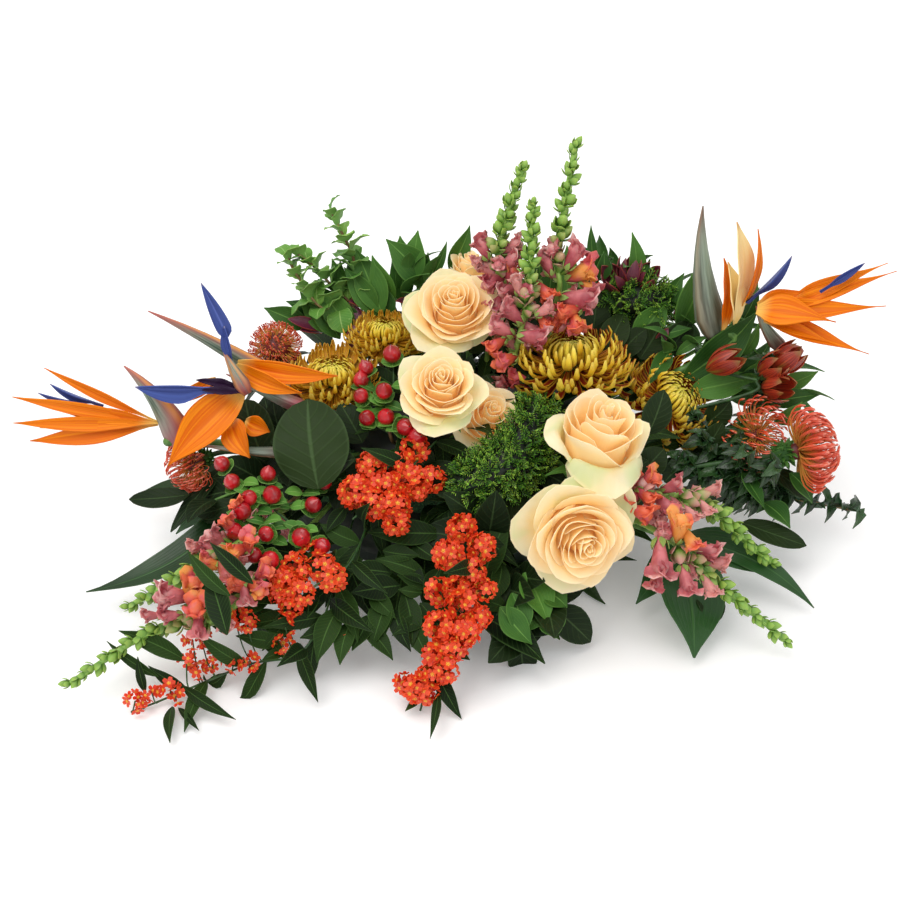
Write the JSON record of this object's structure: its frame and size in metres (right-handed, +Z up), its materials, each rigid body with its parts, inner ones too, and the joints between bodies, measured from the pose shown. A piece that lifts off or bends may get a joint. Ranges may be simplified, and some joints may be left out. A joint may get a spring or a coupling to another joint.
{
  "type": "oval flower arrangement",
  "caption": "Low oval table arrangement of roses, bird of paradise, mixed orange flowers, berries and foliage standing in wet foam in a shallow tray.",
  "frame": {"origin": "middle of the tray's flat underside, on the table", "axes": "+Z up, +X along the arrangement's length, seen from the -Y side"},
  "size_m": [0.704, 0.4406, 0.3143],
  "materials": {
    "tray": "matte dark green plastic",
    "foam": "matt open-pored wet foam",
    "rose_petal": "soft satin petal",
    "rose_stem": "matt green stem",
    "bronze_floret": "soft matt florets",
    "orange_sepal": "waxy sepal",
    "blue_tongue": "waxy petal",
    "spathe": "waxy grey-green bract",
    "pincushion_style": "glossy curved styles",
    "snapdragon_flower": "soft velvety flowers",
    "berry": "glossy berries",
    "scarlet_floret": "soft small florets",
    "green_needle": "matt green needles",
    "lily_petal": "soft dark red petals",
    "dark_leaf": "glossy dark leaf",
    "light_leaf": "satin light leaf",
    "green_leaf": "satin leaf",
    "broad_leaf": "glossy leathery leaf"
  },
  "bodies": {
    "root": {"alstroemeria_back": "lily_petal", "alstroemeria_right": "lily_petal", "aspidistra_left": "broad_leaf", "aspidistra_right": "broad_leaf", "chrysanthemum_back_left": "bronze_floret", "chrysanthemum_left": "bronze_floret", "chrysanthemum_right": "bronze_floret", "chrysanthemum_top": "bronze_floret", "euphorbia_front": "scarlet_floret", "euphorbia_left": "scarlet_floret", "euphorbia_mid": "scarlet_floret", "euphorbia_trailing": "scarlet_floret", "floral_foam": "foam", "hypericum_left": "berry", "hypericum_mid": "berry", "pincushion_back_left": "pincushion_style", "pincushion_far_right": "pincushion_style", "pincushion_low_left": "pincushion_style", "pincushion_right": "pincushion_style", "privet_back_left": "light_leaf", "privet_right": "dark_leaf", "rose_back_bloom": "rose_petal", "rose_back_stem": "rose_stem", "rose_front_bloom": "rose_petal", "rose_front_stem": "rose_stem", "rose_mid_left_bloom": "rose_petal", "rose_mid_left_stem": "rose_stem", "rose_mid_right_bloom": "rose_petal", "rose_mid_right_stem": "rose_stem", "rose_small_bloom": "rose_petal", "rose_small_stem": "rose_stem", "rose_top_bloom": "rose_petal", "rose_top_stem": "rose_stem", "ruscus_back_left": "green_leaf", "ruscus_back_right": "green_leaf", "ruscus_right": "green_leaf", "salal_back": "broad_leaf", "salal_front": "broad_leaf", "salal_left": "broad_leaf", "snapdragon_back_left": "snapdragon_flower", "snapdragon_back_mid": "snapdragon_flower", "snapdragon_back_right": "snapdragon_flower", "snapdragon_left_high": "snapdragon_flower", "snapdragon_left_low": "snapdragon_flower", "snapdragon_right_high": "snapdragon_flower", "snapdragon_right_low": "snapdragon_flower", "strelitzia_far_left_sepals": "orange_sepal", "strelitzia_far_left_spathe": "spathe", "strelitzia_far_left_tongue": "blue_tongue", "strelitzia_left_sepals": "orange_sepal", "strelitzia_left_spathe": "spathe", "strelitzia_left_tongue": "blue_tongue", "strelitzia_right_back_sepals": "orange_sepal", "strelitzia_right_back_spathe": "spathe", "strelitzia_right_sepals": "orange_sepal", "strelitzia_right_spathe": "spathe", "strelitzia_right_tongue": "blue_tongue", "trachelium_back": "green_needle", "trachelium_mid": "green_needle", "tray": "tray"}
  },
  "joints": []
}
